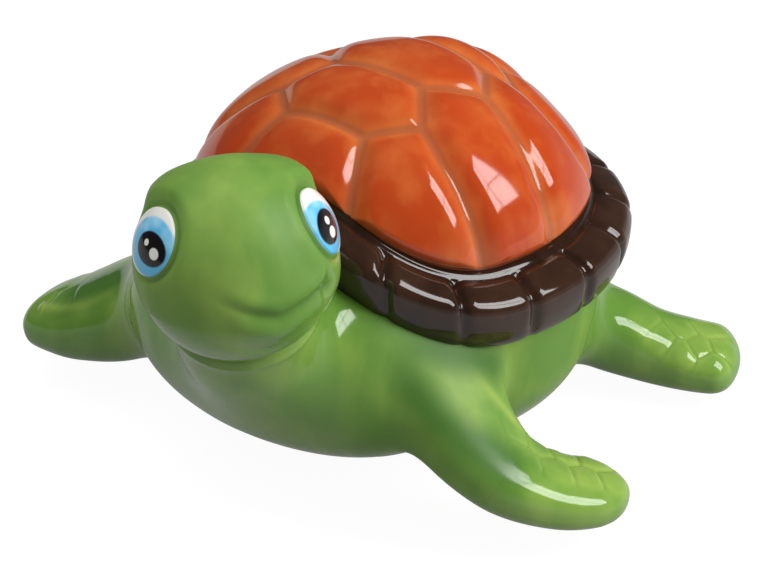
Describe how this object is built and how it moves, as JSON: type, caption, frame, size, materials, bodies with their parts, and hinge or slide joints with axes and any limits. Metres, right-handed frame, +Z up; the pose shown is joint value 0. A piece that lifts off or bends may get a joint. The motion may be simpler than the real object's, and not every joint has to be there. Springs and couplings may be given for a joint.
{
  "type": "turtle figurine",
  "caption": "Free-standing glazed ceramic sea turtle ornament: hollow green body, head and flippers under a domed scuted shell with a dark scalloped rim, resting on a flat belly foot.",
  "frame": {"origin": "middle of the flat foot under the belly, on the surface that the turtle stands on", "axes": "+Z up, the turtle's body faces -Y and its left side is +X; the head is turned to its left"},
  "size_m": [0.2555, 0.2477, 0.1472],
  "materials": {
    "green_glaze": "high-gloss translucent green glaze, lighter where it thins over edges",
    "orange_glaze": "high-gloss orange glaze, redder in the middle of each scute",
    "brown_glaze": "high-gloss dark brown glaze",
    "eye_glaze": "white eye with painted blue iris, black pupil and white dots under clear glaze"
  },
  "bodies": {
    "root": {"torso": "green_glaze", "carapace_dome": "orange_glaze", "marginal_rim": "brown_glaze", "head": "green_glaze", "left_eye": "eye_glaze", "right_eye": "eye_glaze", "front_left_flipper": "green_glaze", "front_right_flipper": "green_glaze", "rear_left_flipper": "green_glaze", "rear_right_flipper": "green_glaze", "tail": "green_glaze"}
  },
  "joints": []
}
